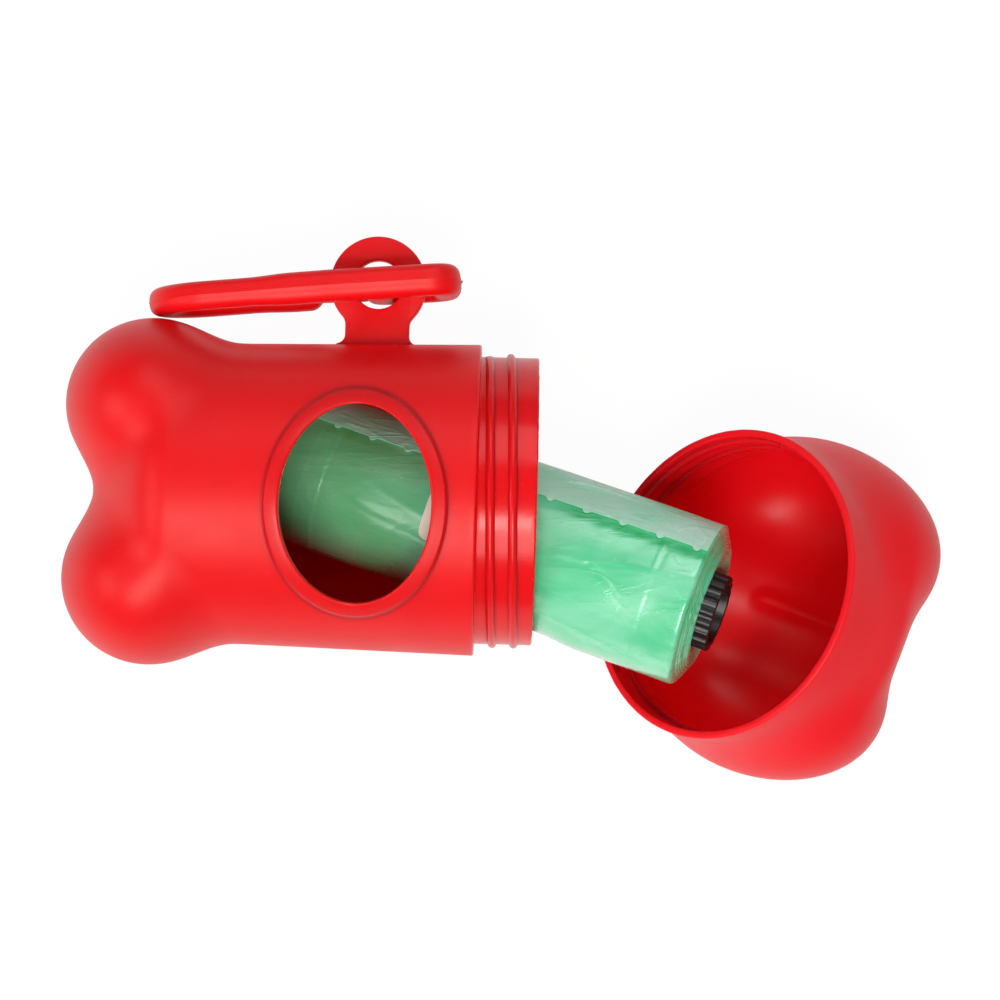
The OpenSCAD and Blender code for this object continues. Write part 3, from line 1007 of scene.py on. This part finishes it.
roll = {
    "radius": 10.85,
    "length": 63.8,
    "coreRadius": 5.2,
    "coreGap": 0.1,
    "dish": 0.3,  # how far the film's end is sunk beside the core
    "bulge": 0.95,  # how far the layers stand out between the core and the edge
    "layers": 15,
    "layerDepth": 0.20,
    "shoulder": 0.8,
    "around": 256,
    "along": 230,
    "foldDepth": 0.05,
    "swell": 0.50,  # how far the loose layers hang out on the low side
    "swellFrom": 43.5,
}

# rings where the folded bags' edges lie under the outer layer: place along the roll, and height
creaseRings = [(8.6, 0.05), (11.2, 0.07), (57.6, 0.05)]

# long creases of the outer layer: points as place along the roll and turn, height and width
creases = [
    ([(45, 1), (49, 3), (51, 6), (56, 12), (62.6, 17)], 0.14, 0.42),
    ([(50, 0), (56, 8), (61.6, 12)], 0.09, 0.36),
    ([(49.8, 3), (52.6, -7), (55.6, -19)], -0.08, 0.5),
    ([(60, 11.5), (62.5, 1)], 0.07, 0.3),
    ([(43, -24), (50, -31), (59, -33), (64, -37)], 0.07, 0.6),
    ([(42, -48), (52, -52), (60, -62)], 0.06, 0.5),
    ([(12.5, 52), (18, 40), (26, 33)], 0.08, 0.4),
    ([(14, 12), (20, 2), (27, -6)], 0.07, 0.5),
    ([(13, -8), (19, -17), (28, -22)], -0.06, 0.5),
    ([(5, 20), (8.4, 2), (10.8, -24)], 0.05, 0.4),
]


sheet = {
    "thickness": 0.07,
    "lift": 0.16,  # how far its free edge stands off the roll
    "edgeTurn": 38.0,
    "lastTurn": 112.0,
    "firstTab": 5.6,
    "tabGap": 5.13,
    "tabWidth": 0.6,
    "tabReach": 0.5,
}


def rollPoint(along, turn, reach):
    # turn is in degrees from the top of the roll towards the hanging tab's side
    angle = np.radians(turn)
    return np.column_stack([along, reach * np.sin(angle), reach * np.cos(angle)])


def creaseHeight(along, turn, line, width):
    # 1 on the crease, falling to 0 about a width away
    scale = math.radians(roll["radius"])
    away = np.full(len(along), 99.0)
    for (x0, t0), (x1, t1) in zip(line, line[1:]):
        dx, dy = x1 - x0, (t1 - t0) * scale
        x, y = along - x0, ((turn - t0 + 180) % 360 - 180) * scale
        share = np.clip((x * dx + y * dy) / (dx * dx + dy * dy), 0, 1)
        away = np.minimum(away, np.hypot(x - share * dx, y - share * dy))
    return np.exp(-(away / width) ** 2)


def filmRelief(along, turn):
    # the folds and swellings of the wound film, in millimetres outwards
    around = rollPoint(along * 0.22, turn, roll["radius"])
    twisted = rollPoint(along * 0.26, turn - along * 0.8, roll["radius"])
    broad = wave(around, 41, 8.0)
    ridge = near(wave(twisted, 42, 6.5), 0, 0.22)
    relief = roll["foldDepth"] * (0.7 * broad + 0.5 * ease(ridge))
    for place, height in creaseRings:
        bent = place + 0.35 * np.sin(np.radians(turn + 40))
        relief += height * np.exp(-((along - bent) / 0.17) ** 2)
        relief -= height * 0.6 * np.exp(-((along - bent - 0.5) / 0.4) ** 2)
    for line, height, width in creases:
        relief += height * creaseHeight(along, turn, line, width)
    return relief


def filmSwell(along, turn):
    # the loose outer layers hang out on the low side, where no neck holds them
    low, half = -80, 66
    off = np.clip((turn - low + 180) % 360 - 180, -half, half)
    side = np.cos(np.radians(off * 90 / half)) ** 2
    return roll["swell"] * ease((along - roll["swellFrom"]) / 7) * side


def endRelief(reach, turn):
    # edges of the wound layers, each a little in or out of line with the next
    share = (roll["radius"] - reach) / (roll["radius"] - roll["coreRadius"])
    phase = np.maximum(share, 0) ** 0.85 * roll["layers"] + turn / 360
    phase += 0.25 * np.sin(np.radians(2 * turn + 30)) + 0.12 * np.sin(np.radians(5 * turn))
    layer = np.floor(phase)
    part = phase - layer
    lifts = np.random.default_rng(51).uniform(0.25, 1.0, roll["layers"] + 8)
    lift = np.interp(layer - turn / 360 + 3, np.arange(len(lifts)), lifts)
    bow = 1 - (2 * part - 1) ** 2
    sharp = near(part, 0.3, 0.16)
    return roll["layerDepth"] * lift * (0.8 * bow + 0.7 * sharp), 1 - bow


def makeFilm():
    size = roll
    top, core = size["radius"], size["coreRadius"] + size["coreGap"]
    length, soft = size["length"], size["shoulder"]
    face = np.linspace(core, top - soft, 72)
    bend = np.linspace(0, math.pi / 2, 9)[1:]
    sink = size["dish"] * np.clip((6.6 - face) / (6.6 - core), 0, 1) ** 1.4
    sink -= size["bulge"] * np.sin(np.clip((face - core) / (top - soft - core), 0, 1) * math.pi)
    reach = np.concatenate([face, top - soft + soft * np.sin(bend)])
    inset = np.concatenate([sink, soft * 0.85 * (1 - np.cos(bend))])
    middle = np.linspace(soft, length - soft, size["along"])[1:-1]
    along = np.concatenate([inset, middle, length - inset[::-1]])
    radius = np.concatenate([reach, np.full(len(middle), top), reach[::-1]])
    outward = np.where(np.arange(len(along)) < len(inset), -1, 1)
    film, column, row = gridOf("woundFilm", len(along) - 1, size["around"])
    turn = row * 360 / size["around"]
    x, r = along[column], radius[column]
    skin = np.clip((r - top + 0.45) / 0.45, 0, 1)
    wall = np.clip((top - soft - r) / 0.3, 0, 1) * np.clip((r - core) / 0.4, 0, 1)
    relief, gap = endRelief(r, turn)
    spread = np.clip((r - core) / (top - core), 0, 1) ** 2
    r = r + skin * filmRelief(x, turn) + spread * filmSwell(x, turn)
    x = x + outward[column] * (wall * relief - 0.12 * wall)
    setPoints(film, rollPoint(x, turn, r))
    # painted shadow: a strip just beside the loose sheet's free edge, beyond the neck and in the
    # window
    edge = sheet["edgeTurn"] - 0.9
    below = np.clip(1.5 - np.abs(turn - edge + 3.4) / 3.6, 0, 1) * skin
    below *= np.clip((x - 42) / 4, 0, 1) + near(x, 13, 7)
    setValue(film, "sheetEdgeShadow", below * (0.85 + 0.15 * np.sin(x * 2.1)))
    setValue(film, "layerGap", wall * gap)
    # painted shade: olive on the film inside the housing, fading out by 30 mm along the roll
    setValue(film, "housingShade", 0.5 * np.clip((30 - x) / 6, 0, 1))
    mergeDoubles(film, 0.0008)
    faceOutwards(film)
    smoothBelow(film, 60)
    return finishPiece(film, rollMatrix(), "roll", filmGreen, "bag_roll")


def makeSheet():
    # the loose end of the first bag, with the torn perforations along its free edge
    size = sheet
    columns, rows = 420, 56
    piece, column, row = gridOf("looseSheet", columns, rows)
    x = 0.15 + (roll["length"] - 0.5) * column / columns
    nearest = np.rint((x - size["firstTab"]) / size["tabGap"]) * size["tabGap"] + size["firstTab"]
    off = np.abs(x - nearest) / size["tabWidth"]
    torn = np.clip(1.4 - off * 1.4, 0, 1) ** 0.7
    flat = np.column_stack([x, x * 0, x * 0])
    edge = size["edgeTurn"] + 0.4 * wave(flat, 61, 18) + 0.12 * wave(flat, 62, 3.0)
    edge = edge - math.degrees(size["tabReach"] / roll["radius"]) * torn
    share = row / rows
    turn = edge + (size["lastTurn"] - edge) * share ** 1.25
    free = np.clip(1 - (turn - edge) / 26, 0, 1)
    folded = np.clip((x - 54) / 5, 0, 1) * near(turn, edge + 13, 22)
    places = rollPoint(x * 0.4, turn, roll["radius"])
    creased = near(wave(places, 63, 5.0), 0, 0.2) ** 2
    crumpled = near(wave(rollPoint(x * 0.9, turn, roll["radius"]), 66, 2.6), 0, 0.35)
    reach = roll["radius"] + 0.10 + size["lift"] * free ** 2 + 0.03 * wave(places, 64, 6.0)
    reach += 0.05 * creased * (0.3 + free) + 0.05 * torn * free ** 4 * wave(places * 6, 65, 3.0)
    reach += folded * (0.05 + 0.07 * crumpled)
    reach -= 0.16 * np.clip((turn - 96) / 16, 0, 1) ** 2
    setPoints(piece, rollPoint(x, turn, reach))
    setValue(piece, "folded", folded * (0.35 + 0.2 * crumpled))
    setValue(piece, "torn", torn * free ** 6)
    faceOutwards(piece)
    addModifier(piece, "SOLIDIFY", thickness=size["thickness"], offset=-1)
    smoothBelow(piece, 70)
    return finishPiece(piece, rollMatrix(), "roll", filmPale, "first_bag")


label = {
    "start": 26.5,
    "length": 12.0,
    "span": 42.0,
    "corner": 1.1,
    "thickness": 0.1,
}


def makeLabel():
    size = label
    piece, column, row = gridOf("rollSticker", 60, 60)
    halfLong = size["length"] / 2
    halfWide = math.radians(size["span"]) * roll["radius"] / 2
    x = (column / 30 - 1) * halfLong
    y = (row / 30 - 1) * halfWide
    overX = np.maximum(np.abs(x) - halfLong + size["corner"], 0)
    overY = np.maximum(np.abs(y) - halfWide + size["corner"], 0)
    past = np.hypot(overX, overY)
    larger = np.maximum(np.maximum(overX, overY), 1e-6)
    pull = np.where(past > 0, larger / np.maximum(past, 1e-6), 1)
    x = np.sign(x) * (np.abs(x) - overX + overX * pull)
    y = np.sign(y) * (np.abs(y) - overY + overY * pull)
    turn = np.degrees(y / roll["radius"])
    x = x + size["start"] + halfLong
    reach = roll["radius"] + filmRelief(x, turn) * 0.5 + 0.06
    setPoints(piece, rollPoint(x, turn, reach))
    faceOutwards(piece)
    addModifier(piece, "SOLIDIFY", thickness=size["thickness"], offset=-0.5)
    smoothBelow(piece, 50)
    return finishPiece(piece, rollMatrix(), "roll", labelCream, "roll_label")


core = {
    "bevel": 0.10,
    "slip": 1.0,  # how far its outer end has slid out of the film
    "sag": (-0.45, -0.5),  # sideways and down at its outer end, in the loose film
}


def makeCore():
    piece = refinedCopy("ribbedCore", "roll_core", core["bevel"], 2)
    toRoll = np.array(rollMatrix().inverted())
    places = points(piece) @ toRoll[:3, :3].T + toRoll[:3, 3]
    share = np.clip(places[:, 0] / roll["length"], 0, 1.1)
    places[:, 0] += core["slip"] * (places[:, 0] > roll["length"] / 2)
    places[:, 1] += core["sag"][0] * share
    places[:, 2] += core["sag"][1] * share
    setPoints(piece, places)
    return finishPiece(piece, rollMatrix(), "core", coreBlack, "roll_core")


woundFilm = makeFilm()
looseSheet = makeSheet()
rollSticker = makeLabel()
ribbedCore = makeCore()
print("stage: roll made")

# floor, lights and camera

stageLook = {
    "floorColour": (0.90, 0.90, 0.90),
    "floorSize": 3.0,
    "floorGap": 0.00005,
    "whiteShare": 0.93,  # how much of the floor the camera sees as plain white
    "worldColour": (0.92, 0.96, 1.0),
    "worldStrength": 0.19,
    "whiteStrength": 1.03,
    "glossShare": 0.55,  # how much of that white the gloss of pieces sees
}

# each lamp's place, size, power and colour; all of them point at the origin
lamps = {
    "key": ((-0.02, -0.28, 0.55), 0.36, 2.35, (1.0, 0.97, 0.91)),
    "left": ((-0.46, -0.08, 0.34), 0.34, 0.9, (1.0, 0.98, 0.94)),
    "back": ((0.10, 0.44, 0.44), 0.34, 0.9, (0.97, 0.98, 1.0)),
    "glint": ((0.01, -0.15, 0.50), 0.07, 0.34, (1.0, 0.97, 0.92)),
}

photoCamera = {
    "place": (0.00304, 0.00013, 0.340),
    "turn": 1.6,
    "lens": 90.05,
}


def whiteToCamera(shader, look):
    # plain white for the camera, for gloss and for what shows through clear pieces
    tree, lit = shader.tree, shader.surface
    path = tree.nodes.new("ShaderNodeLightPath")
    rays, gloss, through = (Wire(shader, path.outputs[name]) for name in
                            ("Is Camera Ray", "Is Glossy Ray", "Is Transmission Ray"))
    white = shader.add("Emission", Color=(1.0, 1.0, 1.0), Strength=look["whiteStrength"])
    mix = tree.nodes.new("ShaderNodeMixShader")
    share = (rays + gloss * look["glossShare"] + through) * look["whiteShare"]
    shader.plug(share, mix.inputs[0])
    tree.links.new(lit.outputs[0], mix.inputs[1])
    tree.links.new(white.socket, mix.inputs[2])
    tree.links.new(mix.outputs[0], shader.output.inputs["Surface"])


def makeStage():
    look = stageLook
    deselectAll()
    under = tableHeight * mm - look["floorGap"]
    bpy.ops.mesh.primitive_plane_add(size=look["floorSize"], location=(0, 0, under))
    floor = newest("paleFloor")
    shader = Shader("PaleFloor")
    shader.finish(Base_Color=look["floorColour"], Roughness=0.9)
    whiteToCamera(shader, look)
    floor.data.materials.append(shader.material)
    world = bpy.data.worlds.new("SoftStudio")
    world.use_nodes = True
    backdrop = world.node_tree.nodes["Background"]
    backdrop.inputs["Color"].default_value = (*look["worldColour"], 1)
    backdrop.inputs["Strength"].default_value = look["worldStrength"]
    bpy.context.scene.world = world


def makeLamps():
    for name, (place, size, power, colour) in lamps.items():
        bpy.ops.object.light_add(type="AREA", location=place)
        light = bpy.context.object
        light.name = name + "Softbox"
        light.data.shape = "SQUARE"
        light.data.size = size
        light.data.energy = power
        light.data.color = colour
        light.rotation_euler = (-Vector(place)).to_track_quat("-Z", "Y").to_euler()


def makeCamera():
    look = photoCamera
    bpy.ops.object.camera_add(location=look["place"], rotation=(0, 0, math.radians(look["turn"])))
    camera = bpy.context.object
    camera.name = "photoCamera"
    camera.data.lens = look["lens"]
    camera.data.sensor_width = 36
    camera.data.clip_start = 0.01
    bpy.context.scene.camera = camera


makeStage()
makeLamps()
makeCamera()
bpy.context.scene.view_settings.view_transform = "Standard"
print("stage: floor, lamps and camera made")

deselectAll()
